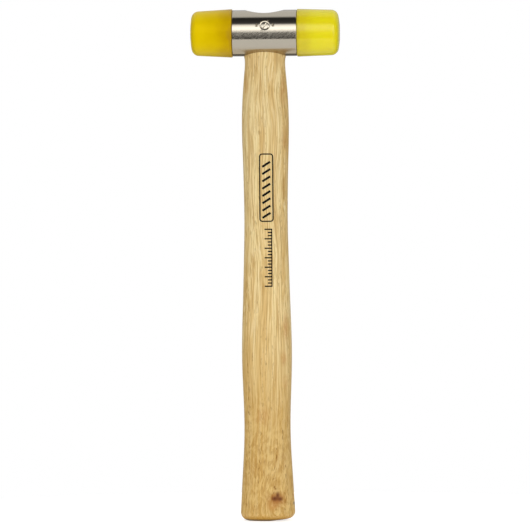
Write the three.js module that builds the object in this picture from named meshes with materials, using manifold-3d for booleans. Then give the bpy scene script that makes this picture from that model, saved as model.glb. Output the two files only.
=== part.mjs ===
// A soft-faced hammer for metalwork, in millimetres, +Z up.
//
// A short plated steel head lies along X and has an oval eye through it along Z. The wooden
// handle's tenon fills the eye, spread by a wooden wedge along X and a steel wedge across it.
// A plastic face screws into each end of the head: the hard one on -X, the soft one on +X.
// Each face is moulded round the collar of its own steel stud.
// The origin is the centre of the handle's flat end, so the hammer stands on it.

import * as THREE from "three";
import { mergeVertices } from "three/addons/utils/BufferGeometryUtils.js";
import Module from "manifold-3d";

const wasm = await Module();
wasm.setup();

// ---- driving dimensions ----

const HEAD = {
  axisHeight: 232.1,
  radius: 11,
  length: 30.8,
  endChamfer: 0.5,
};

// The eye is wider above than below, so the wedged tenon can't pull out.
const EYE = {
  halfLength: 9.3,
  halfWidthBelow: 5.5,
  halfWidthAbove: 6.2,
};

// An M10 x 1.5 stud, drawn at its full diameter without the thread's groove.
const STUD = {
  radius: 4.9,
  reachIntoHead: 5.8,
  depthInFace: 10.5,
  collarRadius: 7,
  collarStart: 3.5,
  collarEnd: 6.5,
  endChamfer: 0.7,
};
const SOCKET_RADIUS = 5.1;
const SOCKET_MOUTH_CHAMFER = 0.7;
const STUD_CLEARANCE = 0.1;

// A face tapers slightly, rounds over its corner and ends in a shallow crown round a flat land.
const HARD_FACE = { length: 19.9, seamRadius: 11.5, taper: 0.056, cornerRadius: 3.5, crownRadius: 50 };
const SOFT_FACE = { length: 20.3, seamRadius: 11.35, taper: 0.032, cornerRadius: 3.7, crownRadius: 45 };
const FACE_LAND_RADIUS = 3.5;
const FACE_BACK_EDGE = 0.3;
const FACE_SEAM_GAP = 0.05;

// The handle's section from the butt to the neck: [height, width along X, thickness along Y,
// squareness], where squareness 2 is an ellipse and more is a fuller oval.
const HANDLE_SECTIONS = [
  [0, 26.4, 19.6, 2.4],
  [14, 24.8, 18.5, 2.4],
  [42, 22.0, 16.4, 2.35],
  [80, 23.8, 17.4, 2.3],
  [113, 22.0, 15.7, 2.25],
  [142, 20.7, 14.5, 2.2],
  [165, 21.3, 14.3, 2.2],
  [187, 22.4, 14.2, 2.15],
  [199, 21.9, 13.3, 2.1],
  [211, 20.2, 12.1, 2.05],
  [218, 19.2, 11.6, 2.05],
  [221, 20.0, 11.7, 2.05],
  [225, 20.3, 11.8, 2.05],
];
const BUTT_EDGE_RADIUS = 4.4;
const BUTT_EDGE_ROWS = 5;
const HANDLE_ROWS = 30;

const TENON = {
  gap: 0.2,
  bottom: 215,
  topAboveHeadAxis: 8.6,
};
const SHOULDER_GAP = 0.15;

const WOODEN_WEDGE = { length: 17, thickness: 2.2, tipThickness: 0.7, depth: 14 };
const STEEL_WEDGE = { length: 9, thickness: 1.8, tipThickness: 0.4, depth: 11 };
const WEDGE_GAP = 0.1;
const KERF_LENGTH = 24;

const ROUND_SIDES = 48;
const EYE_SIDES = 40;
const HANDLE_SIDES = 40;
const CORNER_STEPS = 6;
const CROWN_STEPS = 3;
const CUT_MARGIN = 3;

const QUARTER_TURN = Math.PI / 2;
const HEAD_END = HEAD.length / 2;
const FACE_BACK = HEAD_END + FACE_SEAM_GAP;
const TENON_TOP = HEAD.axisHeight + TENON.topAboveHeadAxis;

// ---- materials ----

const platedSteel = new THREE.MeshStandardMaterial({ color: 0xb9b4a4, roughness: 0.32, metalness: 1 });
const studSteel = new THREE.MeshStandardMaterial({ color: 0x9a9a96, roughness: 0.4, metalness: 1 });
const wedgeSteel = new THREE.MeshStandardMaterial({ color: 0x6f6d68, roughness: 0.5, metalness: 1 });
const amberPlastic = new THREE.MeshStandardMaterial({ color: 0xd9bb02, roughness: 0.28 });
const lemonPlastic = new THREE.MeshStandardMaterial({ color: 0xdfd02c, roughness: 0.3 });
const handleWood = new THREE.MeshStandardMaterial({ color: 0xd3ba83, roughness: 0.55 });
const wedgeWood = new THREE.MeshStandardMaterial({ color: 0xb99560, roughness: 0.65 });

// ---- solids: closed geometries joined and cut ----

function solidOf(geometry) {
  const bare = geometry.clone();
  bare.deleteAttribute("normal");
  bare.deleteAttribute("uv");
  const merged = mergeVertices(bare, 1e-5);
  return new wasm.Manifold(
    new wasm.Mesh({
      numProp: 3,
      vertProperties: new Float32Array(merged.attributes.position.array),
      triVerts: new Uint32Array(merged.index.array),
    }),
  );
}

function geometryOf(solid) {
  const { vertProperties, triVerts } = solid.getMesh();
  const geometry = new THREE.BufferGeometry();
  geometry.setAttribute("position", new THREE.BufferAttribute(new Float32Array(vertProperties), 3));
  geometry.setIndex(new THREE.BufferAttribute(new Uint32Array(triVerts), 1));
  geometry.computeVertexNormals();
  return geometry;
}

// Turns a profile of [distance, radius] points about the head's axis. Distance runs from the
// middle of the head towards +X.
function turnedAboutHeadAxis(profile) {
  const points = profile.map(([distance, radius]) => new THREE.Vector2(radius, distance));
  const geometry = new THREE.LatheGeometry(points, ROUND_SIDES);
  geometry.rotateZ(-QUARTER_TURN);
  geometry.translate(0, 0, HEAD.axisHeight);
  return geometry;
}

// Half a turn about the handle's axis takes a piece from the +X end to the -X end.
function onHardEnd(geometry) {
  return geometry.rotateZ(Math.PI);
}

// A unit cylinder whose rows of vertices are moved to the oval sections that sectionAt gives:
// rowHeights runs upwards, and a section has halfX, halfY and squareness.
function ovalColumn(rowHeights, sectionAt, sides) {
  const lastRow = rowHeights.length - 1;
  const geometry = new THREE.CylinderGeometry(1, 1, lastRow, sides, lastRow);
  const position = geometry.attributes.position;
  for (let i = 0; i < position.count; i += 1) {
    const row = Math.round(position.getY(i) + lastRow / 2);
    const height = rowHeights[row];
    const { halfX, halfY, squareness } = sectionAt(height);
    const power = 2 / squareness;
    const across = Math.sign(position.getX(i)) * Math.abs(position.getX(i)) ** power;
    const along = Math.sign(position.getZ(i)) * Math.abs(position.getZ(i)) ** power;
    position.setXYZ(i, across * halfX, -along * halfY, height);
  }
  return geometry;
}

// ---- head ----

function eyeSection(height) {
  const share = (height - HEAD.axisHeight + HEAD.radius) / (2 * HEAD.radius);
  const halfY = THREE.MathUtils.lerp(EYE.halfWidthBelow, EYE.halfWidthAbove, share);
  return { halfX: EYE.halfLength, halfY, squareness: 2 };
}

function eyeCutter() {
  const bottom = HEAD.axisHeight - HEAD.radius - CUT_MARGIN;
  const top = HEAD.axisHeight + HEAD.radius + CUT_MARGIN;
  return solidOf(ovalColumn([bottom, top], eyeSection, EYE_SIDES));
}

function socketProfile() {
  return [
    [0, 0],
    [0, SOCKET_RADIUS],
    [HEAD_END - SOCKET_MOUTH_CHAMFER, SOCKET_RADIUS],
    [HEAD_END, SOCKET_RADIUS + SOCKET_MOUTH_CHAMFER],
    [HEAD_END + CUT_MARGIN, SOCKET_RADIUS + SOCKET_MOUTH_CHAMFER],
    [HEAD_END + CUT_MARGIN, 0],
  ];
}

function headBody() {
  const chamferedRadius = HEAD.radius - HEAD.endChamfer;
  const bar = turnedAboutHeadAxis([
    [-HEAD_END, 0],
    [-HEAD_END, chamferedRadius],
    [-HEAD_END + HEAD.endChamfer, HEAD.radius],
    [HEAD_END - HEAD.endChamfer, HEAD.radius],
    [HEAD_END, chamferedRadius],
    [HEAD_END, 0],
  ]);
  const softSocket = turnedAboutHeadAxis(socketProfile());
  const hardSocket = onHardEnd(turnedAboutHeadAxis(socketProfile()));
  const drilled = solidOf(bar).subtract(solidOf(softSocket)).subtract(solidOf(hardSocket));
  return geometryOf(drilled.subtract(eyeCutter()));
}

// ---- faces and their studs ----

// Points on an arc about [distance, radius], from one angle to another. Angle 0 points along
// the head's axis and a quarter turn points outwards.
function arc([distance, radius], arcRadius, fromAngle, toAngle, steps) {
  const points = [];
  for (let step = 0; step <= steps; step += 1) {
    const angle = fromAngle + ((toAngle - fromAngle) * step) / steps;
    points.push([distance + arcRadius * Math.cos(angle), radius + arcRadius * Math.sin(angle)]);
  }
  return points;
}

// A face's outline from the edge of its land to its back. The corner arc touches the tapered
// side and the crown arc, which puts its centre on the line and the circle used below.
function faceOutline({ length, seamRadius, taper, cornerRadius, crownRadius }) {
  const crownCentre = length - Math.sqrt(crownRadius ** 2 - FACE_LAND_RADIUS ** 2);
  const slope = Math.hypot(1, taper);
  const lineRadius = seamRadius - cornerRadius * slope;
  const a = 1 + taper ** 2;
  const b = -2 * (crownCentre + lineRadius * taper);
  const c = crownCentre ** 2 + lineRadius ** 2 - (crownRadius - cornerRadius) ** 2;
  const cornerDistance = (-b + Math.sqrt(b ** 2 - 4 * a * c)) / (2 * a);
  const cornerCentre = [cornerDistance, lineRadius - taper * cornerDistance];
  const landAngle = Math.asin(FACE_LAND_RADIUS / crownRadius);
  const crownEdge = Math.atan2(cornerCentre[1], cornerDistance - crownCentre);
  const sideAngle = QUARTER_TURN - Math.atan(taper);
  return [
    ...arc([crownCentre, 0], crownRadius, landAngle, crownEdge, CROWN_STEPS),
    ...arc(cornerCentre, cornerRadius, crownEdge, sideAngle, CORNER_STEPS).slice(1),
    [FACE_BACK_EDGE, seamRadius - taper * FACE_BACK_EDGE],
    [0, seamRadius - FACE_BACK_EDGE],
  ];
}

// The part of the stud that is inside a face, from its far end to the face's back. A clearance
// added all round makes it the hollow that the plastic leaves for the stud.
function insertProfile(clearance) {
  const shank = STUD.radius + clearance;
  const collar = STUD.collarRadius + clearance;
  return [
    [STUD.depthInFace + clearance, 0],
    [STUD.depthInFace + clearance, shank],
    [STUD.collarEnd + clearance, shank],
    [STUD.collarEnd + clearance, collar],
    [STUD.collarStart - clearance, collar],
    [STUD.collarStart - clearance, shank],
  ];
}

function fromFaceBack(profile) {
  return profile.map(([distance, radius]) => [FACE_BACK + distance, radius]);
}

function face(shape) {
  const hollow = [...insertProfile(STUD_CLEARANCE), [0, STUD.radius + STUD_CLEARANCE]];
  const outside = [[shape.length, 0], ...faceOutline(shape)].reverse();
  return turnedAboutHeadAxis(fromFaceBack([...hollow, ...outside]));
}

function faceStud() {
  const threadEnd = HEAD_END - STUD.reachIntoHead;
  return turnedAboutHeadAxis([
    [threadEnd, 0],
    [threadEnd, STUD.radius - STUD.endChamfer],
    [threadEnd + STUD.endChamfer, STUD.radius],
    ...fromFaceBack(insertProfile(0)).reverse(),
  ]);
}

// ---- handle and wedges ----

// A bar of tapered thickness along X, thickest at the tenon's top. A slot for it is the same bar
// with a gap all round, carried on upwards by rise at the same taper.
function wedgeBar({ length, thickness, tipThickness, depth }, gap = 0, rise = 0) {
  const halfTip = tipThickness / 2 + gap;
  const halfTop = thickness / 2 + gap + ((thickness - tipThickness) / 2) * (rise / depth);
  const shape = new THREE.Shape([
    new THREE.Vector2(-halfTip, -depth - gap),
    new THREE.Vector2(halfTip, -depth - gap),
    new THREE.Vector2(halfTop, rise),
    new THREE.Vector2(-halfTop, rise),
  ]);
  const reach = length + 2 * gap;
  const geometry = new THREE.ExtrudeGeometry(shape, { depth: reach, bevelEnabled: false });
  geometry.translate(0, 0, -reach / 2);
  geometry.rotateX(QUARTER_TURN);
  geometry.rotateZ(QUARTER_TURN);
  geometry.translate(0, 0, TENON_TOP);
  return geometry;
}

function wedgeSlot(wedge) {
  return wedgeBar(wedge, WEDGE_GAP, CUT_MARGIN);
}

function handleRowHeights() {
  const heights = [];
  for (let row = 0; row < BUTT_EDGE_ROWS; row += 1) {
    heights.push(BUTT_EDGE_RADIUS * (1 - Math.cos((row / BUTT_EDGE_ROWS) * QUARTER_TURN)));
  }
  const top = HANDLE_SECTIONS.at(-1)[0];
  for (let row = 0; row <= HANDLE_ROWS; row += 1) {
    heights.push(THREE.MathUtils.lerp(BUTT_EDGE_RADIUS, top, row / HANDLE_ROWS));
  }
  return heights;
}

const sectionCurve = new THREE.CubicInterpolant(
  HANDLE_SECTIONS.map(([height]) => height),
  HANDLE_SECTIONS.flatMap(([, ...section]) => section),
  3,
);

function handleSection(height) {
  const [width, thickness, squareness] = sectionCurve.evaluate(height);
  const rise = Math.max(BUTT_EDGE_RADIUS - height, 0);
  const inset = BUTT_EDGE_RADIUS - Math.sqrt(BUTT_EDGE_RADIUS ** 2 - rise ** 2);
  return { halfX: width / 2 - inset, halfY: thickness / 2 - inset, squareness };
}

function tenonSection(height) {
  const eye = eyeSection(Math.max(height, HEAD.axisHeight - HEAD.radius));
  return { halfX: eye.halfX - TENON.gap, halfY: eye.halfY - TENON.gap, squareness: 2 };
}

function handle() {
  const shaft = solidOf(ovalColumn(handleRowHeights(), handleSection, HANDLE_SIDES));
  const shoulderRadius = HEAD.radius + SHOULDER_GAP;
  const shoulderCutter = turnedAboutHeadAxis([
    [-HEAD.length, 0],
    [-HEAD.length, shoulderRadius],
    [HEAD.length, shoulderRadius],
    [HEAD.length, 0],
  ]);
  const tenonRows = [TENON.bottom, HEAD.axisHeight - HEAD.radius, TENON_TOP];
  const tenon = solidOf(ovalColumn(tenonRows, tenonSection, EYE_SIDES));
  const kerf = wedgeSlot({ ...WOODEN_WEDGE, length: KERF_LENGTH });
  const crossSlot = wedgeSlot(STEEL_WEDGE).rotateZ(QUARTER_TURN);
  const body = shaft.subtract(solidOf(shoulderCutter)).add(tenon);
  return geometryOf(body.subtract(solidOf(kerf)).subtract(solidOf(crossSlot)));
}

function woodenWedge() {
  const crossSlot = wedgeSlot(STEEL_WEDGE).rotateZ(QUARTER_TURN);
  return geometryOf(solidOf(wedgeBar(WOODEN_WEDGE)).subtract(solidOf(crossSlot)));
}

function steelWedge() {
  return wedgeBar(STEEL_WEDGE).rotateZ(QUARTER_TURN);
}

// ---- assembly ----

function piece(name, geometry, material) {
  const mesh = new THREE.Mesh(geometry, material);
  mesh.name = name;
  return mesh;
}

const hammer = new THREE.Group();
hammer.add(
  piece("head_body", headBody(), platedSteel),
  piece("hard_face", onHardEnd(face(HARD_FACE)), amberPlastic),
  piece("hard_face_stud", onHardEnd(faceStud()), studSteel),
  piece("soft_face", face(SOFT_FACE), lemonPlastic),
  piece("soft_face_stud", faceStud(), studSteel),
  piece("handle", handle(), handleWood),
  piece("wooden_wedge", woodenWedge(), wedgeWood),
  piece("steel_wedge", steelWedge(), wedgeSteel),
);

export default hammer;
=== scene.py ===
import math

import bmesh
import bpy
import numpy as np
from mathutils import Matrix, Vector


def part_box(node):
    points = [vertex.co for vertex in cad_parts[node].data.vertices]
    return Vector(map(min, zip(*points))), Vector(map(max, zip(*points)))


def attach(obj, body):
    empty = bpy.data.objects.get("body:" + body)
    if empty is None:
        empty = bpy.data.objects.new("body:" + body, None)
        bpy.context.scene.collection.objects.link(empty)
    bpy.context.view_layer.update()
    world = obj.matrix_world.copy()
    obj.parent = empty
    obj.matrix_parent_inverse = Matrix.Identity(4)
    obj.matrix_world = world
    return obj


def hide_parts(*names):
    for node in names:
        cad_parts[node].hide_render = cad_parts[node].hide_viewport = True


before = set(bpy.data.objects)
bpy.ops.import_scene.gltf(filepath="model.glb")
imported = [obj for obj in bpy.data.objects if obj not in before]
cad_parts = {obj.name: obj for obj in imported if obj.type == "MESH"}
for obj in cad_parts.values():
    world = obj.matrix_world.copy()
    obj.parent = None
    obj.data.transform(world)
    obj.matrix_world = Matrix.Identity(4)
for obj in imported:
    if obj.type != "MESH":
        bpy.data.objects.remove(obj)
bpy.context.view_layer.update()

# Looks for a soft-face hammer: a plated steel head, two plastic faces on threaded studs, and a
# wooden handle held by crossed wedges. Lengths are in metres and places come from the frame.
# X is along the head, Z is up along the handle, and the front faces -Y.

MM = 0.001
HARD_SIDE = -1
SOFT_SIDE = 1

# ---- sizes taken from the frame ----

HEAD_LOW, HEAD_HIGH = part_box("head_body")
HEAD_AXIS = (HEAD_LOW.z + HEAD_HIGH.z) / 2
HEAD_RADIUS = (HEAD_HIGH.z - HEAD_LOW.z) / 2
HEAD_END = HEAD_HIGH.x
HARD_LOW, HARD_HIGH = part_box("hard_face")
SOFT_LOW, SOFT_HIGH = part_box("soft_face")
STUD_LOW, STUD_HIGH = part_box("soft_face_stud")
TENON_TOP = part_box("handle")[1].z
FACE_BACK = SOFT_LOW.x

# ---- sizes of the finer shapes ----

# The head. EYE_WALL_ROWS are shares of the way down the eye's wall, closer together by each rim.
EYE_HALF_LENGTH = 9.3 * MM
EYE_HALF_WIDTH_BELOW = 5.5 * MM
EYE_HALF_WIDTH_ABOVE = 5.9 * MM
EYE_RIM_RADIUS = 0.3 * MM
EYE_WALL_ROWS = (0.012, 0.03, 0.08, *np.linspace(0.15, 0.85, 8), 0.92, 0.97, 0.988)
HEAD_EDGE_RADIUS = 0.4 * MM
HEAD_EDGE_ROWS = 4
HEAD_LENGTH_CELLS = 56
HEAD_ROUND_CELLS = 72
HEAD_SPREAD_ROWS = 28

# The stamped mark. Heights are along the bar's girth, up from its foremost line. A groove is round
# bottomed: GROOVE_SHOULDER is where its floor starts, as shares of its half width and its depth.
MARK_X = 0.4 * MM
MARK_HEIGHT = 2.95 * MM
MARK_RING = {"radius": 2.1 * MM, "width": 0.8 * MM, "depth": 0.42 * MM}
MARK_SLASH = {"half_x": 1.7 * MM, "half_height": 2.9 * MM, "width": 0.7 * MM, "depth": 0.38 * MM}
MARK_DOT = {"offset": 3.9 * MM, "radius": 0.38 * MM, "width": 0.72 * MM, "depth": 0.6 * MM}
GROOVE_RISE = 0.3 * MM
GROOVE_SHOULDER = (0.7, 0.75)

# The threads, sockets and studs. A groove's flanks rise by THREAD_FLANK of its depth in half a
# pitch, and THREAD_CREST of its depth is lost to the flat crest.
THREAD_PITCH = 1.5 * MM
THREAD_DEPTH = 0.85 * MM
THREAD_FLANK = 1.15
THREAD_CREST = 0.1
THREAD_ROWS_PER_PITCH = 12
SOCKET_RADIUS = 5.1 * MM
SOCKET_MOUTH = 0.7 * MM
SOCKET_INTO_EYE = 1.5 * MM
SOCKET_PAST_END = 0.4 * MM
STUD_RADIUS = 4.9 * MM
STUD_SIDES = 96
STUD_TIP_TAPER = 1.0 * MM
STUD_TIP_SLOPE = 1.2
STUD_NECK_DEPTH = 0.6 * MM
STUD_NECK_LENGTH = 1 * MM
STUD_END_EDGE = 0.5 * MM
COLLAR_START = FACE_BACK + 3.5 * MM
COLLAR_END = FACE_BACK + 6.5 * MM
KNURL_TEETH = 24
KNURL_DEPTH = 0.35 * MM

# The plastic faces. AXIS_HOLE stands for a point on the axis, which a ring can't be.
HARD_SHAPE = {"taper": 0.056, "corner": 3.5 * MM, "crown": 50 * MM}
SOFT_SHAPE = {"taper": 0.032, "corner": 3.7 * MM, "crown": 45 * MM}
FACE_LAND_RADIUS = 3.5 * MM
FACE_BACK_EDGE = 0.35 * MM
FACE_SIDES = 160
FACE_ROWS = {"back": 5, "side": 24, "corner": 14, "crown": 12}
MOULDING_GAP = 0.05 * MM
AXIS_HOLE = 0.001 * MM

# The handle.
BUTT_EDGE_LEFT = 4.4 * MM
BUTT_EDGE_RIGHT = 3.5 * MM
BUTT_SLOPE = 0.10
BUTT_SLOPE_START = 1 * MM
BUTT_SLOPE_REACH = 14 * MM
NECK_HALF_WIDTH = 9.75 * MM
NECK_HALF_THICKNESS = 5.9 * MM
NECK_REACH = 2 * MM
BUTT_SQUARENESS = 2.4
SQUARENESS_LOST = 0.35
LIP = 0.35 * MM
LIP_REACH = 0.8 * MM
SHOULDER_START = 0.85
SHOULDER_GAP = 0.03 * MM
TENON_GAP = 0.05 * MM
WEDGE_GAP = 0.05 * MM
WEDGE_POINT = 0.35
SLOT_PAST_TOP = 3 * MM
HANDLE_SIDES = 144
HANDLE_ROWS = 260
BUTT_EDGE_ROWS = 12
BUTT_FLAT_RINGS = (0.02, 0.25, 0.5, 0.75, 0.9)
TENON_ROWS = 12

# The printing on the handle's front.
FILM = 0.03 * MM
FILM_LIFT = 0.01 * MM
PRINT_FRAME = {"left": -2.6 * MM, "right": 3.6 * MM, "bottom": 142.3 * MM, "top": 174.2 * MM}
PRINT_FRAME_CORNER = 1.2 * MM
PRINT_FRAME_LINE = 0.6 * MM
PRINT_BARS = 8
PRINT_BAR_LINE = 1.05 * MM
PRINT_BAR_RISE = 2.4 * MM
PRINT_BAR_MARGIN = 1.2 * MM
PRINT_BAR_FOOT = 1.6 * MM
PRINT_BAR_SPARE = 4.2 * MM
PRINT_RULE = {"left": -0.5 * MM, "right": 2.9 * MM, "bottom": 111.5 * MM, "top": 138.5 * MM}
PRINT_RULE_LINE = 0.5 * MM
PRINT_RULE_PAST = 0.25 * MM
PRINT_TICKS = 19
PRINT_TICK_LINE = 0.62 * MM
PRINT_LONG_TICK_EVERY = 3
PRINT_SHORT_TICK = 0.55

# How close points are joined in a new mesh and in a cut one, and the angle in degrees that edges
# stay sharp above.
POINT_JOIN = 0.0001 * MM
CUT_SLIVER = 0.001 * MM
SHARP_ANGLE = 35.0
HANDLE_SHARP_ANGLE = 50.0

# The camera.
CAMERA_DISTANCE = 1.5
CAMERA_AZIMUTH = math.radians(2.3)
CAMERA_ROLL = math.radians(0.40)
CAMERA_LENS = 213.8
CAMERA_AIM = Vector((-0.66 * MM, 0.0, 121.58 * MM))


# ---- looks ----

def srgb(red, green, blue):
    """A colour given as it looks on screen, from 0 to 255, as the linear values that nodes take."""
    linear = []
    for value in (red, green, blue):
        share = value / 255
        linear.append(share / 12.92 if share <= 0.04045 else ((share + 0.055) / 1.055) ** 2.4)
    return (*linear, 1.0)


# Levels of light by the angle about the head's axis: 0 is level in front, 90 is straight up and
# 180 is level behind. Each is (angle in degrees, level).
SKY_BANDS = (
    (-180, 0.45), (-150, 0.20), (-125, 0.22), (-100, 0.48), (-72, 0.66), (-58, 0.86), (-39, 0.86),
    (-33, 0.14), (-27, 0.09), (-20, 0.19), (-8, 0.30), (-3, 0.29), (2, 0.80), (7, 1.56), (12, 2.08),
    (18, 2.36), (24, 2.34), (30, 1.98), (35, 1.55), (39, 0.94), (43, 0.18), (50, 0.06), (70, 0.03),
    (76, 0.04), (79, 0.13), (85, 0.72), (92, 0.88), (135, 0.86), (160, 0.50), (180, 0.45),
)
SKY_PEAK = 2.4

# Where the sky starts and stops dimming towards the sides, and the share of its light left there.
SIDE_START, SIDE_END = 0.5, 0.95
SIDE_DIMMING = 0.25

# Upright strip lights: where each starts and ends round the handle's axis, from the front towards
# the right in degrees, and its level. They fade over a few degrees, and at their feet and tops.
STRIP_LIGHTS = ((34, 54, 2.3), (-72, -52, 1.6))
STRIP_FADE = 4
STRIP_FOOT = (-0.5, -0.35)
STRIP_TOP = (0.6, 0.45)

FLOOR_RINGS = (0.001, 0.1, 0.265)
FLOOR_SIDES = 96
FLOOR_CENTRE_Y = -0.08
FLOOR_DROP = 0.05 * MM
FLOOR_GLOW = 0.48
FLOOR_GLOW_SEEN = 0.20

# Bands on the steel, in millimetres above the head's axis: where the rubbed smears fade out upwards and
# downwards, and where a painted reflection of the wooden handle turns the plate warmer underneath.
SMEAR_TOP = (1.4, 0.4)
SMEAR_FOOT = (-4.4, -2.8)
WOOD_REFLECTION_HEIGHTS = (-6.5, -10.5)
NICKEL = ((0.50, 0.455, 0.375, 1), (0.47, 0.43, 0.355, 1))
# painted reflection: the plate's colour warmed as though mirroring the wooden handle below
PAINTED_WOOD_REFLECTION = (0.42, 0.345, 0.235, 1)
ZINC = ((0.50, 0.50, 0.47, 1), (0.36, 0.36, 0.34, 1))
MILD_STEEL = ((0.42, 0.40, 0.37, 1), (0.24, 0.21, 0.18, 1))

# Plastic colours from the seam out to the striking end, darker by the seam: painted shade where the steel
# stud inside the see-through plastic keeps the light out.
AMBER = (
    (0.50, 0.300, 0.010, 1), (0.60, 0.380, 0.001, 1), (0.74, 0.520, 0.000, 1), (0.81, 0.590, 0.001, 1),
)
LEMON = (
    (0.64, 0.510, 0.012, 1), (0.74, 0.610, 0.012, 1), (0.86, 0.755, 0.010, 1), (0.88, 0.760, 0.010, 1),
)
# How far out from the seam each colour gives way to the next, in millimetres.
PLASTIC_SHADE_CHANGES = ((0.0, 2.2), (2.2, 9.0), (8.0, 15.0))

WOOD = {
    "ground": srgb(224, 190, 123),
    "cream": srgb(238, 214, 154),
    "line": srgb(192, 150, 84),
    "between_lines": srgb(244, 226, 178),
    "fibre": srgb(184, 143, 80),
    "between_fibres": srgb(246, 228, 180),
    "gold": srgb(187, 144, 64),
    "figure": srgb(172, 126, 52),
    "between_figure": srgb(226, 196, 128),
    "fleck": srgb(186, 124, 56),
    "pore": srgb(134, 88, 26),
    "knot": srgb(152, 84, 18),
    "knot_eye": srgb(92, 40, 4),
    "thick_varnish": srgb(172, 124, 26),
    # painted shade along the butt's lowest rim
    "edge": srgb(88, 68, 20),
    "nick": srgb(66, 40, 20),
    "end_grain": srgb(138, 98, 56),
}
WEDGE_WOOD = (srgb(196, 158, 104), srgb(236, 208, 158))
INK = srgb(9, 8, 7)
WORN_INK = srgb(80, 66, 42)

# Places on the handle, in millimetres. A pair of heights runs from none of a look to all of it.
GOLD_HEIGHTS = (110, 25)
FIGURE_HEIGHTS = (75, 30)
THICK_VARNISH_HEIGHTS = (2.8, 1.2)
# the darkest line along the butt's lowest rim is painted shade under the handle
UNDERSIDE_SHADE_HEIGHTS = (1.5, 0.5)
END_GRAIN_HEIGHTS = (TENON_TOP / MM - 0.6, TENON_TOP / MM - 0.2)
KNOT = (4.7, -9.0, 10.8)
KNOT_HALO = (6.0, 6, 4.8)
KNOT_PARTING = (10, 12, 17)
LEAN = (4, 0, 172)
LEAN_REACH = (16, 30, 34)
NICK = (12.6, -2.5, 8.4)
NICK_REACH = (1.8, 2.2, 1.3)

# Each dark eye of the knot is (centre, reach), and each fleck is (centre, reach, strength).
KNOT_EYES = (
    ((3.6, -9.5, 10.9), (2.3, 3, 1.8)),
    ((6.2, -9.2, 10.7), (2.1, 3, 1.6)),
    ((5.0, -9.4, 12.5), (1.4, 3, 2.4)),
)
FLECKS = (
    ((8.8, -4.0, 205), (2.2, 6, 10), 0.55),
    ((9.0, -4.0, 181), (2.6, 6, 9), 0.50),
    ((9.0, -5.0, 92), (1.8, 6, 10), 0.7),
    ((8.2, -6.0, 77), (2.2, 6, 5), 0.55),
    ((2.6, -8.5, 7.5), (4.0, 6, 4.0), 0.55),
    ((8.8, -6.0, 66), (2.0, 5, 5), 0.5),
    ((-2.0, -8.0, 50), (6.0, 5, 6), 0.30),
    ((-8.8, -4.0, 207), (1.8, 6, 12), 0.35),
)


# ---- meshes ----

def mesh_object(name, vertices, faces, sharp_angle=SHARP_ANGLE):
    """A closed mesh in the scene, with its points joined and its faces turned outwards."""
    mesh = bpy.data.meshes.new(name)
    mesh.from_pydata([tuple(v) for v in vertices], [], faces)
    piece = bpy.data.objects.new(name, mesh)
    bpy.context.scene.collection.objects.link(piece)
    work = bmesh.new()
    work.from_mesh(mesh)
    bmesh.ops.remove_doubles(work, verts=work.verts, dist=POINT_JOIN)
    bmesh.ops.recalc_face_normals(work, faces=work.faces)
    work.to_mesh(mesh)
    work.free()
    shade_smooth(piece, sharp_angle)
    return piece


def shade_smooth(piece, sharp_angle):
    piece.data.shade_smooth()
    piece.data.set_sharp_from_angle(angle=math.radians(sharp_angle))


def clean_cut(mesh):
    """Drops the slivers that a cut leaves, and splits its many-sided faces into triangles."""
    work = bmesh.new()
    work.from_mesh(mesh)
    bmesh.ops.remove_doubles(work, verts=work.verts, dist=CUT_SLIVER)
    bmesh.ops.triangulate(work, faces=work.faces)
    work.to_mesh(mesh)
    work.free()


def cut(piece, cutters, sharp_angle=SHARP_ANGLE):
    """Subtracts the cutters from the piece and removes them."""
    for cutter in cutters:
        modifier = piece.modifiers.new("cut", "BOOLEAN")
        modifier.operation = "DIFFERENCE"
        modifier.solver = "EXACT"
        modifier.object = cutter
    depsgraph = bpy.context.evaluated_depsgraph_get()
    result = bpy.data.meshes.new_from_object(piece.evaluated_get(depsgraph))
    piece.modifiers.clear()
    uncut = piece.data
    piece.data = result
    bpy.data.meshes.remove(uncut)
    result.name = piece.name
    clean_cut(result)
    for cutter in cutters:
        bpy.data.objects.remove(cutter)
    shade_smooth(piece, sharp_angle)


def bridge(rings, fill_start=True, fill_end=True):
    """Vertices and faces of closed rings of equal length, joined in order."""
    count = len(rings[0])
    vertices = [point for ring in rings for point in ring]
    faces = []
    for row in range(len(rings) - 1):
        a, b = row * count, (row + 1) * count
        for i in range(count):
            j = (i + 1) % count
            faces.append((a + i, a + j, b + j, b + i))
    if fill_start:
        faces.append(tuple(range(count)))
    if fill_end:
        faces.append(tuple(range(len(vertices) - count, len(vertices))))
    return vertices, faces


def turned_on(point, side):
    """Half a turn about the handle's axis takes a place on the soft side to the hard side."""
    x, y, z = point
    return (side * x, side * y, z)


def round_ring(x, radius, side, sides):
    """A ring about the head's axis. radius is a length, or a function of the angle."""
    ring = []
    for i in range(sides):
        angle = 2 * math.pi * i / sides
        r = radius(angle) if callable(radius) else radius
        ring.append(turned_on((x, r * math.cos(angle), HEAD_AXIS + r * math.sin(angle)), side))
    return ring


def arc(centre, radius, start, end, steps):
    """(x, r) points on an arc. Angle 0 points along the axis and a quarter turn outwards."""
    angles = np.linspace(start, end, steps + 1)
    return [(centre[0] + radius * math.cos(a), centre[1] + radius * math.sin(a)) for a in angles]


def smoothstep(low, high, value):
    share = min(max((value - low) / (high - low), 0.0), 1.0)
    return share * share * (3 - 2 * share)


# ---- the steel head ----

def half_bar_outline():
    """Points round the half of the bar that an eye opens in, unrolled flat as (x, girth)."""
    half_length = HEAD_END - HEAD_EDGE_RADIUS
    half_girth = math.pi * HEAD_RADIUS / 2
    along = np.linspace(-half_length, half_length, HEAD_LENGTH_CELLS, endpoint=False)
    around = np.linspace(-half_girth, half_girth, HEAD_ROUND_CELLS, endpoint=False)
    points = [(half_length, s) for s in around]
    points += [(-x, half_girth) for x in along]
    points += [(-half_length, -s) for s in around]
    points += [(x, -half_girth) for x in along]
    return points


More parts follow.
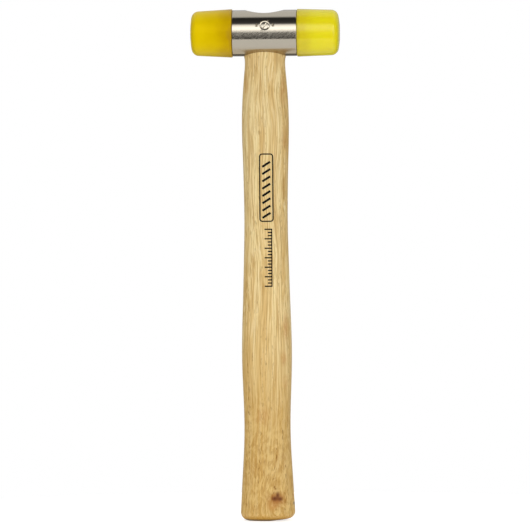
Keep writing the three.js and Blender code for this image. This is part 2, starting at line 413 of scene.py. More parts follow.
def eye_outline(half_width, grow):
    """The eye's outline in plan, with one (x, y) point for each point of half_bar_outline."""
    points = []
    for x, s in half_bar_outline():
        angle = math.atan2(s / HEAD_RADIUS, x / HEAD_END)
        x_reach, y_reach = EYE_HALF_LENGTH + grow, half_width + grow
        points.append((x_reach * math.cos(angle), y_reach * math.sin(angle)))
    return points


def half_bar_rings(half_width, up):
    """Rings from the bar's ends and sides in to the eye's rounded rim. up is 1 above, -1 below."""
    outer = half_bar_outline()
    rim = eye_outline(half_width, EYE_RIM_RADIUS)
    rings = []
    for share in np.linspace(0, 1, HEAD_SPREAD_ROWS + 1):
        ring = []
        for (x, s), (rim_x, rim_y) in zip(outer, rim):
            rim_s = HEAD_RADIUS * math.asin(rim_y / HEAD_RADIUS)
            angle = (s + (rim_s - s) * share) / HEAD_RADIUS
            height = up * HEAD_RADIUS * math.cos(angle)
            ring.append((x + (rim_x - x) * share, HEAD_RADIUS * math.sin(angle), HEAD_AXIS + height))
        rings.append(ring)
    for turn in (math.pi / 6, math.pi / 3, math.pi / 2):
        drop = EYE_RIM_RADIUS * (1 - math.cos(turn))
        ring = []
        for x, y in eye_outline(half_width, EYE_RIM_RADIUS * (1 - math.sin(turn))):
            ring.append((x, y, HEAD_AXIS + up * (math.sqrt(HEAD_RADIUS**2 - y**2) - drop)))
        rings.append(ring)
    return rings


def eye_wall_rings(top, bottom):
    """Rings down the eye's wall, close together by each rim so that the rim's shading ends there."""
    rings = []
    for share in EYE_WALL_ROWS:
        rings.append([tuple(a + (b - a) * share for a, b in zip(p, q)) for p, q in zip(top, bottom)])
    return rings


def bar_end_rings(side):
    """The rounded edge at one end of the bar, matching the ends of half_bar_outline."""
    corner = (HEAD_END - HEAD_EDGE_RADIUS, HEAD_RADIUS - HEAD_EDGE_RADIUS)
    profile = arc(corner, HEAD_EDGE_RADIUS, math.pi / 2, 0, HEAD_EDGE_ROWS)
    return [round_ring(x, r, side, 2 * HEAD_ROUND_CELLS) for x, r in profile]


def thread_groove(x, angle):
    """Depth of a right-hand thread's groove at a place along the axis and an angle round it."""
    phase = (x / THREAD_PITCH - angle / (2 * math.pi)) % 1.0
    return THREAD_DEPTH * min(max(THREAD_FLANK * abs(2 * phase - 1) - THREAD_CREST, 0.0), 1.0)


def socket_cutter(side):
    """A screw shape that runs from outside the head's end into the eye."""
    start = EYE_HALF_LENGTH - SOCKET_INTO_EYE
    rows = round((HEAD_END - start) / THREAD_PITCH * THREAD_ROWS_PER_PITCH)
    rings = []
    for x in np.linspace(start, HEAD_END + SOCKET_PAST_END, rows):
        mouth = SOCKET_RADIUS + SOCKET_MOUTH - max(HEAD_END - x, 0)

        def bore(angle):
            return max(SOCKET_RADIUS - thread_groove(x, angle), mouth)

        rings.append(round_ring(x, bore, side, STUD_SIDES))
    return mesh_object("socket_cutter", *bridge(rings))


def groove_cutter(path, width, depth, closed):
    """A round-bottomed groove along a path of (x, girth) points on the bar's front."""
    half = width / 2
    shoulder, shoulder_depth = GROOVE_SHOULDER[0] * half, GROOVE_SHOULDER[1] * depth
    section = (
        (half, GROOVE_RISE), (half, 0), (shoulder, -shoulder_depth), (0, -depth),
        (-shoulder, -shoulder_depth), (-half, 0), (-half, GROOVE_RISE),
    )
    rings = []
    for i, (x, s) in enumerate(path):
        before = path[i - 1] if closed or i else path[i]
        after = path[(i + 1) % len(path)] if closed or i + 1 < len(path) else path[i]
        run = Vector((after[0] - before[0], after[1] - before[1])).normalized()
        ring = []
        for across, out in section:
            px, ps = x - run.y * across, s + run.x * across
            radius, angle = HEAD_RADIUS + out, ps / HEAD_RADIUS
            ring.append((px, -radius * math.cos(angle), HEAD_AXIS + radius * math.sin(angle)))
        rings.append(ring)
    if closed:
        rings.append(rings[0])
    return mesh_object("groove_cutter", *bridge(rings, not closed, not closed))


def size_mark_cutters():
    """A stamped diameter sign between two punch dots, in place of lettering."""
    turns = np.linspace(0, 2 * math.pi, 48, endpoint=False)
    radius, half_x, half_height = MARK_RING["radius"], MARK_SLASH["half_x"], MARK_SLASH["half_height"]
    ring = [(MARK_X + radius * math.cos(a), MARK_HEIGHT + radius * math.sin(a)) for a in turns]
    slash = [(MARK_X + t * half_x, MARK_HEIGHT + t * half_height) for t in np.linspace(-1, 1, 16)]
    cutters = [
        groove_cutter(ring, MARK_RING["width"], MARK_RING["depth"], True),
        groove_cutter(slash, MARK_SLASH["width"], MARK_SLASH["depth"], False),
    ]
    for side in (-1, 1):
        x = MARK_X + side * MARK_DOT["offset"]
        radius = MARK_DOT["radius"]
        dot = [(x + radius * math.cos(a), MARK_HEIGHT + radius * math.sin(a)) for a in turns[::4]]
        cutters.append(groove_cutter(dot, MARK_DOT["width"], MARK_DOT["depth"], True))
    return cutters


def build_head():
    above = half_bar_rings(EYE_HALF_WIDTH_ABOVE, 1)
    below = half_bar_rings(EYE_HALF_WIDTH_BELOW, -1)
    vertices, faces = bridge(above + eye_wall_rings(above[-1], below[-1]) + below[::-1], False, False)
    for side in (HARD_SIDE, SOFT_SIDE):
        end_vertices, end_faces = bridge(bar_end_rings(side), False, True)
        faces += [tuple(i + len(vertices) for i in face) for face in end_faces]
        vertices += end_vertices
    piece = mesh_object("plated_head", vertices, faces)
    cut(piece, [socket_cutter(HARD_SIDE), socket_cutter(SOFT_SIDE), *size_mark_cutters()])
    return piece


# ---- the faces and their studs ----

def face_outside(length, seam_radius, taper, corner, crown):
    """A face's (x, r) outline from its back, out along the tapered side, to the edge of its land.
    The corner's arc touches the side and the crown's arc."""
    crown_x = length - math.sqrt(crown**2 - FACE_LAND_RADIUS**2)
    line_radius = seam_radius - corner * math.hypot(1, taper)
    a = 1 + taper**2
    b = -2 * (crown_x + line_radius * taper)
    c = crown_x**2 + line_radius**2 - (crown - corner) ** 2
    corner_x = (-b + math.sqrt(b * b - 4 * a * c)) / (2 * a)
    centre = (corner_x, line_radius - taper * corner_x)
    side_angle = math.pi / 2 - math.atan(taper)
    crown_angle = math.atan2(centre[1], corner_x - crown_x)
    land_angle = math.asin(FACE_LAND_RADIUS / crown)
    edge_centre = (FACE_BACK_EDGE, seam_radius - FACE_BACK_EDGE * (1 + taper))
    side_end = corner_x + corner * math.sin(math.atan(taper))
    side_x = np.linspace(FACE_BACK_EDGE, side_end, FACE_ROWS["side"])[1:-1]
    return [
        *arc(edge_centre, FACE_BACK_EDGE, math.pi, side_angle, FACE_ROWS["back"]),
        *[(x, seam_radius - taper * x) for x in side_x],
        *arc(centre, corner, side_angle, crown_angle, FACE_ROWS["corner"]),
        *arc((crown_x, 0), crown, crown_angle, land_angle, FACE_ROWS["crown"])[1:],
    ]


def build_face(name, side, low, high, shape):
    """A plastic face, hollow round its stud and the stud's collar."""
    length = high.x - low.x
    seam_radius = (high.z - low.z) / 2 + shape["taper"] * FACE_BACK_EDGE
    gap = MOULDING_GAP
    inside = [
        (STUD_HIGH.x + gap, AXIS_HOLE),
        (STUD_HIGH.x + gap, STUD_RADIUS + gap),
        (COLLAR_END + gap, STUD_RADIUS + gap),
        (COLLAR_END + gap, STUD_HIGH.y + gap),
        (COLLAR_START - gap, STUD_HIGH.y + gap),
        (COLLAR_START - gap, STUD_RADIUS + gap),
        (FACE_BACK, STUD_RADIUS + gap),
    ]
    outside = face_outside(length, seam_radius, **shape)
    profile = inside + [(FACE_BACK + x, r) for x, r in outside]
    rings = [round_ring(x, r, side, FACE_SIDES) for x, r in profile]
    return mesh_object(name, *bridge(rings))


def knurled(angle):
    """The collar's radius at an angle round it."""
    return STUD_HIGH.y - KNURL_DEPTH * abs(2 * ((angle * KNURL_TEETH / (2 * math.pi)) % 1.0) - 1)


def build_stud(name, side):
    """The threaded stud, its knurled collar inside the plastic, and its shank beyond that."""
    tip = STUD_LOW.x
    rows = round((COLLAR_START - tip) / THREAD_PITCH * THREAD_ROWS_PER_PITCH)
    rings = []
    for x in np.linspace(tip, COLLAR_START, rows):
        limit = STUD_RADIUS - STUD_TIP_TAPER + (x - tip) * STUD_TIP_SLOPE

        def threaded(angle):
            return min(STUD_RADIUS - thread_groove(x, angle), limit)

        rings.append(round_ring(x, threaded, side, STUD_SIDES))
    neck = STUD_RADIUS - STUD_NECK_DEPTH
    profile = (
        (COLLAR_START, knurled),
        (COLLAR_END, knurled),
        (COLLAR_END, neck),
        (COLLAR_END + STUD_NECK_LENGTH, neck),
        (COLLAR_END + STUD_NECK_LENGTH, STUD_RADIUS),
        (STUD_HIGH.x - STUD_END_EDGE, STUD_RADIUS),
        (STUD_HIGH.x, STUD_RADIUS - STUD_END_EDGE),
    )
    rings += [round_ring(x, radius, side, STUD_SIDES) for x, radius in profile]
    return mesh_object(name, *bridge(rings))


# ---- the handle and its print ----

def cad_sections():
    """Heights and half sizes of the CAD handle's rows of vertices between the butt and the neck."""
    points = np.array([v.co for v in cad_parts["handle"].data.vertices])
    heights = np.unique(np.round(points[:, 2], 5))
    shoulder = HEAD_AXIS - HEAD_RADIUS
    heights = heights[(heights > BUTT_EDGE_LEFT - 0.1 * MM) & (heights < shoulder - NECK_REACH)]
    rows = [points[np.abs(points[:, 2] - h) < 0.02 * MM] for h in heights]
    half_x = [row[:, 0].max() for row in rows]
    half_y = [row[:, 1].max() for row in rows]
    heights = np.append(heights, shoulder + NECK_REACH)
    return heights, np.append(half_x, NECK_HALF_WIDTH), np.append(half_y, NECK_HALF_THICKNESS)


SECTION_Z, SECTION_X, SECTION_Y = cad_sections()


def smooth_curve(knots, values, z):
    """A smooth curve through the values, carried on straight past its ends."""
    slopes = np.gradient(values, knots)
    if z <= knots[0]:
        return values[0] + slopes[0] * (z - knots[0])
    i = min(int(np.searchsorted(knots, z)), len(knots) - 1)
    span = knots[i] - knots[i - 1]
    t = (z - knots[i - 1]) / span
    before = (2 * t**3 - 3 * t**2 + 1) * values[i - 1] + (t**3 - 2 * t**2 + t) * span * slopes[i - 1]
    return before + (3 * t**2 - 2 * t**3) * values[i] + (t**3 - t**2) * span * slopes[i]


def handle_half_sizes(z):
    return smooth_curve(SECTION_Z, SECTION_X, z), smooth_curve(SECTION_Z, SECTION_Y, z)


def squareness(z):
    """The power of the oval section: 2 is an ellipse, and more is squarer."""
    return BUTT_SQUARENESS - SQUARENESS_LOST * min(z / (HEAD_AXIS - HEAD_RADIUS), 1.0)


def oval_point(half_x, half_y, power, angle):
    c, s = math.cos(angle), math.sin(angle)
    across = math.copysign(abs(c) ** (2 / power), c)
    through = math.copysign(abs(s) ** (2 / power), s)
    return (across * half_x, through * half_y)


def bar_underside(y, gap):
    """The height of the round bar's lower surface, less a gap, at y from its middle."""
    return HEAD_AXIS - math.sqrt((HEAD_RADIUS + gap) ** 2 - y * y)


def butt_lift(x, z):
    """How far the butt's right side is worn up from flat."""
    return BUTT_SLOPE * max(x - BUTT_SLOPE_START, 0.0) * (1 - smoothstep(0, BUTT_SLOPE_REACH, z))


def handle_ring(z, scale=1.0, turn=math.pi / 2):
    """One ring of the shaft. turn runs round the butt's edge, from 0 underneath to a quarter turn
    at z, its upper end. The last rows bend to meet the round bar."""
    ring = []
    bottom_of_bar = HEAD_AXIS - HEAD_RADIUS
    for i in range(HANDLE_SIDES):
        angle = 2 * math.pi * i / HANDLE_SIDES
        edge = BUTT_EDGE_LEFT + (BUTT_EDGE_RIGHT - BUTT_EDGE_LEFT) * (1 + math.cos(angle)) / 2
        height = z if turn == math.pi / 2 else edge * (1 - math.cos(turn))
        inset = edge * (1 - math.sin(turn))
        half_x, half_y = handle_half_sizes(height)
        flare = LIP * math.exp(-max(bottom_of_bar - height, 0) / LIP_REACH)
        x, y = oval_point(half_x - inset + flare, half_y - inset, squareness(height), angle)
        x, y = x * scale, y * scale
        bend = smoothstep(SHOULDER_START, 1.0, height / bottom_of_bar)
        rise = (bar_underside(y, SHOULDER_GAP) - bottom_of_bar) * bend
        ring.append((x, y, height + rise + butt_lift(x, height)))
    return ring


def tenon_ring(z):
    """One ring of the tenon, or where z is below the bar, the line where it meets the shoulder."""
    ring = []
    for i in range(HANDLE_SIDES):
        angle = 2 * math.pi * i / HANDLE_SIDES
        share = (z - HEAD_AXIS + HEAD_RADIUS) / (2 * HEAD_RADIUS)
        half_y = EYE_HALF_WIDTH_BELOW + (EYE_HALF_WIDTH_ABOVE - EYE_HALF_WIDTH_BELOW) * max(share, 0)
        x, y = oval_point(EYE_HALF_LENGTH - TENON_GAP, half_y - TENON_GAP, 2, angle)
        ring.append((x, y, max(z, bar_underside(y, SHOULDER_GAP))))
    return ring


def wedge_slot(wedge, along_x):
    """A tapered slot round one of the wedges, open at the top."""
    low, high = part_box(wedge)
    reach = (high.x if along_x else high.y) + WEDGE_GAP
    thick = (high.y if along_x else high.x) + WEDGE_GAP
    thin = thick * WEDGE_POINT
    rings = []
    for z, half in ((low.z - WEDGE_GAP, thin), (high.z, thick), (high.z + SLOT_PAST_TOP, thick)):
        corners = ((-reach, -half), (reach, -half), (reach, half), (-reach, half))
        rings.append([(a, b, z) if along_x else (b, -a, z) for a, b in corners])
    return mesh_object("slot_cutter", *bridge(rings))


def build_handle():
    shoulder = HEAD_AXIS - HEAD_RADIUS
    rings = [handle_ring(0, scale, 0) for scale in BUTT_FLAT_RINGS]
    rings += [handle_ring(0, 1, turn) for turn in np.linspace(0, math.pi / 2, BUTT_EDGE_ROWS + 1)[:-1]]
    rings += [handle_ring(z) for z in np.linspace(BUTT_EDGE_LEFT, shoulder, HANDLE_ROWS)]
    rings.append(tenon_ring(0))
    rings += [tenon_ring(z) for z in np.linspace(shoulder + NECK_REACH, TENON_TOP, TENON_ROWS)]
    piece = mesh_object("wood_handle", *bridge(rings), HANDLE_SHARP_ANGLE)
    slots = [wedge_slot("wooden_wedge", True), wedge_slot("steel_wedge", False)]
    cut(piece, slots, HANDLE_SHARP_ANGLE)
    return piece


def front_of_handle(x, z, out):
    """The place on the handle's front at x and z, lifted off the wood by out."""
    half_x, half_y = handle_half_sizes(z)
    power = squareness(z)
    return (x, -half_y * (1 - abs(x / half_x) ** power) ** (1 / power) - out, z)


def film_stroke(path, width, closed=False):
    """Vertices and faces of a flat printed line along (x, z) points on the handle's front."""
    rings = []
    for i, (x, z) in enumerate(path):
        before = path[i - 1] if closed or i else path[i]
        after = path[(i + 1) % len(path)] if closed or i + 1 < len(path) else path[i]
        run = Vector((after[0] - before[0], after[1] - before[1])).normalized() * width / 2
        left, right = (x - run.y, z + run.x), (x + run.y, z - run.x)
        under = [front_of_handle(*left, FILM_LIFT), front_of_handle(*right, FILM_LIFT)]
        over = [front_of_handle(*right, FILM_LIFT + FILM), front_of_handle(*left, FILM_LIFT + FILM)]
        rings.append(under + over)
    if closed:
        rings.append(rings[0])
    return bridge(rings, not closed, not closed)


def rounded_box(x0, x1, z0, z1, radius):
    """Points round a rectangle with rounded corners."""
    points = []
    corners = ((x1, z1, 0), (x0, z1, 1), (x0, z0, 2), (x1, z0, 3))
    for x, z, quarter in corners:
        centre = (x - radius if x == x1 else x + radius, z - radius if z == z1 else z + radius)
        for a in np.linspace(quarter, quarter + 1, 7) * math.pi / 2:
            points.append((centre[0] + radius * math.cos(a), centre[1] + radius * math.sin(a)))
    closed = []
    for i, point in enumerate(points):
        following = points[(i + 1) % len(points)]
        steps = max(1, round(math.dist(point, following) / MM))
        for share in np.arange(steps) / steps:
            closed.append(tuple(p + (q - p) * share for p, q in zip(point, following)))
    return closed


def straight(start, end, steps=8):
    return [tuple(p + (q - p) * t for p, q in zip(start, end)) for t in np.linspace(0, 1, steps + 1)]


def build_print():
    """The printing on the handle's front, with plain shapes in place of lettering: a rounded frame
    filled with slanting bars, and a row of ruled ticks below it."""
    x0, x1, z0, z1 = PRINT_FRAME.values()
    strokes = [film_stroke(rounded_box(x0, x1, z0, z1, PRINT_FRAME_CORNER), PRINT_FRAME_LINE, True)]
    spacing = (z1 - z0 - PRINT_BAR_SPARE) / PRINT_BARS
    for i in range(PRINT_BARS):
        low = z0 + PRINT_BAR_FOOT + i * spacing
        foot = (x0 + PRINT_BAR_MARGIN, low)
        head = (x1 - PRINT_BAR_MARGIN, low + PRINT_BAR_RISE)
        strokes.append(film_stroke(straight(foot, head), PRINT_BAR_LINE))
    left, right, bottom, top = PRINT_RULE.values()
    for i, z in enumerate(np.linspace(bottom, top, PRINT_TICKS)):
        reach = 1.0 if i % PRINT_LONG_TICK_EVERY == 0 else PRINT_SHORT_TICK
        tick = straight((right - (right - left) * reach, z), (right, z))
        strokes.append(film_stroke(tick, PRINT_TICK_LINE))
    foot, head = (right, bottom - PRINT_RULE_PAST), (right, top + PRINT_RULE_PAST)
    strokes.append(film_stroke(straight(foot, head, 40), PRINT_RULE_LINE))
    vertices, faces = [], []
    for stroke_vertices, stroke_faces in strokes:
        faces += [tuple(i + len(vertices) for i in face) for face in stroke_faces]
        vertices += stroke_vertices
    return mesh_object("printed_mark", vertices, faces)


# ---- materials ----

class Nodes:
    """Adds shader nodes to a tree, so that a look reads as a list of steps."""

    def __init__(self, tree):
        self.tree = tree

    def put(self, socket, value):
        if isinstance(value, bpy.types.NodeSocket):
            self.tree.links.new(value, socket)
        else:
            socket.default_value = value

    def node(self, kind, inputs=(), **settings):
        node = self.tree.nodes.new("ShaderNode" + kind)
        for name, value in settings.items():
            setattr(node, name, value)
        for name, value in dict(inputs).items():
            self.put(node.inputs[name], value)
        return node

    def coordinates(self, output):
        return self.node("TexCoord").outputs[output]

    def place(self):
        """The object's own coordinates, in millimetres."""
        return self.stretch(self.coordinates("Object"), 1000, 1000, 1000)

    def stretch(self, vector, x, y, z):
        """Scales the place, so that a noise over it has this many features a millimetre."""
        return self.vector("MULTIPLY", vector, (x, y, z))

    def vector(self, operation, a, b):
        return self.node("VectorMath", {0: a, 1: b}, operation=operation).outputs[0]

    def split(self, vector):
        return self.node("SeparateXYZ", {0: vector}).outputs

    def join(self, x, y, z):
        return self.node("CombineXYZ", {0: x, 1: y, 2: z}).outputs[0]

    def math(self, operation, a, b=0.0):
        return self.node("Math", {0: a, 1: b}, operation=operation).outputs[0]

    def times(self, *values):
        product = values[0]
        for value in values[1:]:
            product = self.math("MULTIPLY", product, value)
        return product

    def plus(self, *values):
        total = values[0]
        for value in values[1:]:
            total = self.math("ADD", total, value)
        return total

    def noise(self, vector, detail=2.0, roughness=0.5):
        """Noise with features about one unit across, from 0 to 1 and mostly from 0.3 to 0.7."""
        inputs = {"Vector": vector, "Scale": 1.0, "Detail": detail, "Roughness": roughness}
        return self.node("TexNoise", inputs).outputs[0]

    def noise_vector(self, vector, detail=2.0):
        """Three noises, from about -0.2 to 0.2."""
        inputs = {"Vector": vector, "Scale": 1.0, "Detail": detail}
        return self.vector("SUBTRACT", self.node("TexNoise", inputs).outputs[1], (0.5, 0.5, 0.5))

    def between(self, value, low, high, to_low=0.0, to_high=1.0):
        inputs = {"Value": value, "From Min": low, "From Max": high, "To Min": to_low, "To Max": to_high}
        return self.node("MapRange", inputs, interpolation_type="SMOOTHSTEP").outputs[0]

    def spot(self, place, centre, size):
        """1 at the centre, fading to 0 at the given sizes."""
        offset = self.vector("SUBTRACT", place, centre)
        scaled = self.vector("DIVIDE", offset, size)
        distance = self.node("VectorMath", {0: scaled}, operation="LENGTH").outputs["Value"]
        return self.between(distance, 0.0, 1.0, 1.0, 0.0)

    def mix(self, factor, a, b, blend="MIX"):
        node = self.node("Mix", data_type="RGBA", blend_type=blend)
        self.put(node.inputs[0], factor)
        self.put(node.inputs[6], a)
        self.put(node.inputs[7], b)
        return node.outputs[2]

    def ramp(self, factor, stops):
        """Grey levels along the factor, from (position, level) pairs."""
        node = self.node("ValToRGB", {0: factor})
        elements = node.color_ramp.elements
        for i, (position, level) in enumerate(stops):
            element = elements[i] if i < 2 else elements.new(position)
            element.position = position
            element.color = (level, level, level, 1)
        return node.outputs[0]


class Shading(Nodes):
    """A new material on the standard surface shader."""

    def __init__(self, name):
        self.material = bpy.data.materials.new(name)
        self.material.use_nodes = True
        super().__init__(self.material.node_tree)
        self.shader = self.tree.nodes["Principled BSDF"]

    def set(self, **inputs):
        for name, value in inputs.items():
            self.put(self.shader.inputs[name.replace("_", " ")], value)

    def bump(self, height, strength, distance):
        inputs = {"Height": height, "Strength": strength, "Distance": distance}
        self.set(Normal=self.node("Bump", inputs).outputs[0])


def plated_steel():
    """Bright nickel plate with fine turning lines, slanting rubbed smears below the mark, and a painted
    reflection of the wood below it: a warmer tint underneath."""
    s = Shading("nickel_plated_steel")
    place = s.place()
    x, y, z = s.split(place)
    axis = HEAD_AXIS / MM

    def height_band(band):
        return s.between(z, axis + band[0], axis + band[1])

    cloud = s.noise(s.stretch(place, 0.5, 0.5, 0.5), detail=4, roughness=0.6)
    lines = s.noise(s.stretch(place, 12, 0.3, 0.3), detail=2)
    along = s.plus(x, s.times(z, 0.5))
    across = s.plus(z, s.times(x, -0.5))
    slanted = s.join(s.times(along, 0.45), s.times(y, 1.5), s.times(across, 3.0))
    smear = s.noise(slanted, detail=5, roughness=0.72)
    below_mark = height_band(SMEAR_TOP)
    above_flank = height_band(SMEAR_FOOT)
    rubbed = s.times(s.between(smear, 0.46, 0.62), below_mark, above_flank)
    plate = s.mix(cloud, *NICKEL)
    # painted reflection: the underside is tinted warm as though mirroring the wood, not a tint of the plate
    s.set(Base_Color=s.mix(height_band(WOOD_REFLECTION_HEIGHTS), plate, PAINTED_WOOD_REFLECTION), Metallic=1.0)
    s.set(Roughness=s.plus(s.between(cloud, 0.3, 0.7, 0.12, 0.15), s.times(rubbed, 0.34)))
    s.set(Anisotropic=0.9, Anisotropic_Rotation=0.25)
    s.set(Tangent=s.node("Tangent", direction_type="RADIAL", axis="X").outputs[0])
    s.bump(s.plus(s.times(lines, 0.3), s.times(smear, below_mark, above_flank, 0.42)), 0.25, 0.02 * MM)
    return s.material


def threaded_steel():
    s = Shading("zinc_plated_steel")
    place = s.place()
    cloud = s.noise(s.stretch(place, 0.9, 0.9, 0.9), detail=4, roughness=0.6)
    s.set(Base_Color=s.mix(cloud, *ZINC), Metallic=1.0)
    s.set(Roughness=s.between(cloud, 0.3, 0.7, 0.25, 0.42))
    s.bump(s.noise(s.stretch(place, 6, 6, 6)), 0.2, 0.02 * MM)
    return s.material


def wedge_steel():
    s = Shading("dull_wedge_steel")
    place = s.place()
    cloud = s.noise(s.stretch(place, 0.8, 0.8, 0.8), detail=5, roughness=0.65)
    s.set(Base_Color=s.mix(cloud, *MILD_STEEL), Metallic=1.0)
    s.set(Roughness=s.between(cloud, 0.3, 0.7, 0.35, 0.6))
    s.bump(s.noise(s.stretch(place, 3, 3, 3), detail=3), 0.4, 0.05 * MM)
    return s.material


def plastic(name, side, seam_shaded_colours, roughness, specular_tint):
    """Tinted plastic. Its colours run from the seam with the steel out to the striking end, darker by the
    seam as painted shade from the steel stud inside.
    """
    s = Shading(name)
    place = s.place()
    out = s.plus(s.times(s.split(place)[0], float(side)), -FACE_BACK / MM)
    cloud = s.noise(s.stretch(place, 0.14, 0.14, 0.14))
    out = s.plus(out, s.between(cloud, 0.3, 0.7, -1.2, 1.2))
    # painted shade: the colour darkens towards the seam, where the steel stud inside blocks light through
    # the plastic
    colour = seam_shaded_colours[0]
    for (start, end), following in zip(PLASTIC_SHADE_CHANGES, seam_shaded_colours[1:]):
        colour = s.mix(s.between(out, start, end), colour, following)
    s.set(Base_Color=colour, Roughness=roughness, IOR=1.49, Specular_Tint=specular_tint)
    s.set(Subsurface_Weight=0.3, Subsurface_Radius=(1.0, 0.8, 0.1), Subsurface_Scale=2 * MM)
    fine = s.noise(s.stretch(place, 1.6, 1.6, 1.6), detail=3)
    s.bump(fine, 0.15, 0.02 * MM)
    return s.material


def handle_wood():
    """Pale open-grained hardwood under thin varnish. The grain runs up the handle, parts round a
    knot near the butt and carries rows of short dark pores."""
    s = Shading("varnished_hardwood")
    place = s.place()
    x, _, z = s.split(place)

    # the grain's own directions: across the rings, through the wood, and along the handle
    sway = s.stretch(s.noise_vector(s.stretch(place, 0.05, 0.05, 0.012)), 10, 3, 0)
    lean = s.times(s.spot(place, LEAN, LEAN_REACH), s.plus(z, -LEAN[2]), -0.13)
    beside_knot = s.plus(x, -KNOT[0])
    parting = s.times(beside_knot, s.spot(place, KNOT, KNOT_PARTING), -0.8)
    shift = s.join(s.plus(lean, parting), 0.0, 0.0)
    waver = s.stretch(s.noise_vector(s.stretch(place, 0.16, 0.16, 0.05)), 1.5, 0.3, 0)
    grain = s.vector("ADD", s.vector("ADD", s.vector("ADD", place, sway), waver), shift)

    lines = s.noise(s.stretch(grain, 1.8, 1.3, 0.014), detail=2, roughness=0.6)
    fibre = s.noise(s.stretch(grain, 3.0, 2.2, 0.06), detail=3, roughness=0.6)
    cream = s.noise(s.stretch(grain, 0.26, 0.26, 0.007), detail=2)
    rows = s.noise(s.stretch(grain, 0.95, 0.95, 0.010), detail=1)
    dash = s.noise(s.stretch(grain, 2.3, 2.3, 0.42), detail=1)
    low = s.between(z, *GOLD_HEIGHTS)
    figure = s.between(z, *FIGURE_HEIGHTS)
    swirl = s.stretch(s.noise_vector(s.stretch(place, 0.09, 0.09, 0.06), detail=1.0), 12, 12, 10)
    mottle = s.noise(s.stretch(s.vector("ADD", grain, swirl), 0.85, 0.85, 0.24), detail=3, roughness=0.6)

    # pale bands, fine lines and finer fibres, each with dark and light stretches
    colour = s.mix(s.between(cream, 0.36, 0.62), WOOD["ground"], WOOD["cream"])
    colour = s.mix(s.between(lines, 0.47, 0.64, 0.0, 0.70), colour, WOOD["line"])
    colour = s.mix(s.between(lines, 0.46, 0.34, 0.0, 0.5), colour, WOOD["between_lines"])
    colour = s.mix(s.between(fibre, 0.48, 0.66, 0.0, 0.55), colour, WOOD["fibre"])
    colour = s.mix(s.between(fibre, 0.46, 0.34, 0.0, 0.45), colour, WOOD["between_fibres"])

    # deeper gold and a short mottled figure towards the butt
    colour = s.mix(s.times(low, 0.60), colour, WOOD["gold"])
    colour = s.mix(s.times(figure, s.between(mottle, 0.47, 0.64), 0.42), colour, WOOD["figure"])
    colour = s.mix(s.times(figure, s.between(mottle, 0.50, 0.36), 0.45), colour, WOOD["between_figure"])

    # orange-brown flecks, mostly down one side
    for centre, size, strength in FLECKS:
        fleck = s.times(s.spot(place, centre, size), s.between(mottle, 0.34, 0.52, 0.3, 1.0))
        colour = s.mix(s.times(fleck, strength), colour, WOOD["fleck"])

    # rows of short dark pores, then the knot with its halo
    more_below = s.plus(s.between(rows, 0.50, 0.62), s.times(low, 0.12))
    dark_rows = s.times(more_below, s.between(low, 0, 1, 0.6, 1.1))
    pore = s.times(s.between(dash, 0.54, 0.68), dark_rows)
    colour = s.mix(s.times(pore, 0.62), colour, WOOD["pore"])
    colour = s.mix(s.times(s.spot(place, KNOT, KNOT_HALO), 0.9), colour, WOOD["knot"])
    for centre, size in KNOT_EYES:
        colour = s.mix(s.times(s.spot(place, centre, size), 0.95), colour, WOOD["knot_eye"])

    # varnish gathered round the butt's edge, painted shade along its lowest rim, a nick, and the raw end
    # grain in the eye
    ragged = s.plus(z, s.between(mottle, 0.3, 0.7, -0.6, 0.6))
    colour = s.mix(s.between(ragged, *THICK_VARNISH_HEIGHTS, 0.0, 0.75), colour, WOOD["thick_varnish"])
    # painted shade: the butt's lowest rim darkened where it turns under
    colour = s.mix(s.between(z, *UNDERSIDE_SHADE_HEIGHTS, 0.0, 0.85), colour, WOOD["edge"])
    colour = s.mix(s.times(s.spot(place, NICK, NICK_REACH), 0.95), colour, WOOD["nick"])
    colour = s.mix(s.between(z, *END_GRAIN_HEIGHTS, 0.0, 0.85), colour, WOOD["end_grain"])

    s.set(Base_Color=colour, Roughness=s.between(fibre, 0.3, 0.7, 0.42, 0.55), Specular_IOR_Level=0.22)
    s.bump(s.times(fibre, 0.5), 0.4, 0.06 * MM)
    return s.material


def wedge_wood():
    s = Shading("bare_wedge_wood")
    place = s.place()
    fibre = s.noise(s.stretch(place, 0.8, 4, 0.8), detail=4, roughness=0.65)
    s.set(Base_Color=s.mix(fibre, *WEDGE_WOOD), Roughness=0.7)
    s.bump(fibre, 0.5, 0.08 * MM)
    return s.material


def print_ink():
    s = Shading("black_print_ink")
    place = s.place()
    wear = s.noise(s.stretch(place, 2.5, 2.5, 0.8), detail=4, roughness=0.7)
    s.set(Base_Color=s.mix(s.between(wear, 0.6, 0.8, 0.0, 0.4), INK, WORN_INK))
    s.set(Roughness=0.7, Specular_IOR_Level=0.15)
    s.bump(wear, 0.2, 0.02 * MM)
    return s.material


# ---- camera, light and floor ----

def place_camera():
    data = bpy.data.cameras.new("camera")
    data.lens = CAMERA_LENS
    data.sensor_width = 36.0
    camera = bpy.data.objects.new("camera", data)
    bpy.context.scene.collection.objects.link(camera)
    away = Vector((math.sin(CAMERA_AZIMUTH), -math.cos(CAMERA_AZIMUTH), 0))
    camera.location = CAMERA_AIM + CAMERA_DISTANCE * away
    camera.rotation_euler = (math.pi / 2, 0, CAMERA_AZIMUTH)
    camera.rotation_euler.rotate_axis("Z", -CAMERA_ROLL)
    bpy.context.scene.camera = camera


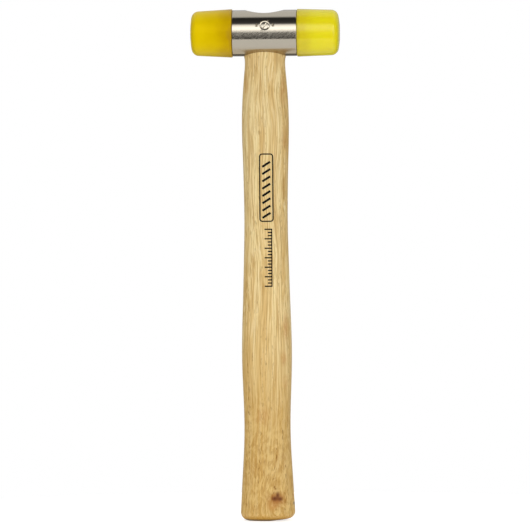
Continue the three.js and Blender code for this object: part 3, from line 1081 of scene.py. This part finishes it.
def light_world():
    """A plain white studio: bands of light round the head's axis, which the bar mirrors, dimmer
    towards the sides, and an upright strip light on each side of the front."""
    world = bpy.data.worlds.new("studio")
    bpy.context.scene.world = world
    world.use_nodes = True
    world.node_tree.nodes.clear()
    s = Nodes(world.node_tree)
    x, y, z = s.split(s.coordinates("Generated"))
    forward = s.times(y, -1.0)
    up_angle = s.math("ARCTAN2", z, forward)
    side_angle = s.math("ARCTAN2", x, forward)
    turn = s.plus(s.times(up_angle, 1 / (2 * math.pi)), 0.5)
    stops = [((degrees + 180) / 360, level / SKY_PEAK) for degrees, level in SKY_BANDS]
    light = s.times(s.ramp(turn, stops), SKY_PEAK)
    sideways = s.math("ABSOLUTE", x)
    light = s.times(light, s.between(sideways, SIDE_START, SIDE_END, 1.0, SIDE_DIMMING))
    fade = math.radians(STRIP_FADE)
    for start_degrees, end_degrees, level in STRIP_LIGHTS:
        start, end = math.radians(start_degrees), math.radians(end_degrees)
        strip = s.times(s.between(side_angle, start, start + fade), s.between(side_angle, end, end - fade))
        height = s.times(s.between(z, *STRIP_FOOT), s.between(z, *STRIP_TOP))
        light = s.plus(light, s.times(strip, height, level))
    lit = s.node("Background", {"Color": (1, 1, 1, 1), "Strength": light}).outputs[0]
    paper = s.node("Background", {"Color": (1, 1, 1, 1), "Strength": 1.0}).outputs[0]
    seen = s.node("LightPath").outputs["Is Camera Ray"]
    both = s.node("MixShader", {0: seen, 1: lit, 2: paper}).outputs[0]
    s.put(s.node("OutputWorld").inputs["Surface"], both)


def lay_floor():
    """A white paper disc, set towards the front, that glows a little, and more so to the camera, to
    merge with the sky."""
    turns = np.linspace(0, 2 * math.pi, FLOOR_SIDES, endpoint=False)
    rings = []
    for r in FLOOR_RINGS:
        rings.append([(r * math.cos(a), FLOOR_CENTRE_Y + r * math.sin(a), -FLOOR_DROP) for a in turns])
    floor = mesh_object("floor", *bridge(rings, True, False))
    s = Shading("floor_paper")
    grain = s.noise(s.stretch(s.place(), 0.5, 0.5, 0.5), detail=3)
    s.set(Base_Color=s.mix(grain, (0.70, 0.70, 0.70, 1), (0.74, 0.74, 0.74, 1)), Roughness=0.9)
    seen = s.node("LightPath").outputs["Is Camera Ray"]
    s.set(Emission_Color=(1, 1, 1, 1), Emission_Strength=s.plus(s.times(seen, FLOOR_GLOW_SEEN), FLOOR_GLOW))
    floor.data.materials.append(s.material)


# ---- the scene ----

def dress(piece, material, body, node):
    """Gives a piece its material and puts it in the place of a CAD node."""
    piece.data.materials.clear()
    piece.data.materials.append(material)
    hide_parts(node)
    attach(piece, body)


place_camera()
light_world()
lay_floor()
bpy.context.scene.view_settings.view_transform = "Standard"
bpy.context.scene.view_settings.look = "None"

amber = plastic("amber_plastic", HARD_SIDE, AMBER, 0.36, (1.0, 0.75, 0.03, 1))
lemon = plastic("lemon_plastic", SOFT_SIDE, LEMON, 0.17, (1.0, 0.97, 0.85, 1))
zinc = threaded_steel()

dress(build_head(), plated_steel(), "head", "head_body")
dress(build_handle(), handle_wood(), "head", "handle")
hard_face = build_face("amber_hard_face", HARD_SIDE, HARD_LOW, HARD_HIGH, HARD_SHAPE)
dress(hard_face, amber, "hard_tip", "hard_face")
soft_face = build_face("lemon_soft_face", SOFT_SIDE, SOFT_LOW, SOFT_HIGH, SOFT_SHAPE)
dress(soft_face, lemon, "soft_tip", "soft_face")
dress(build_stud("hard_threaded_stud", HARD_SIDE), zinc, "hard_stud", "hard_face_stud")
dress(build_stud("soft_threaded_stud", SOFT_SIDE), zinc, "soft_stud", "soft_face_stud")

mark = build_print()
mark.data.materials.append(print_ink())
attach(mark, "head")

for node, material in (("wooden_wedge", wedge_wood()), ("steel_wedge", wedge_steel())):
    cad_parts[node].data.materials.clear()
    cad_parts[node].data.materials.append(material)
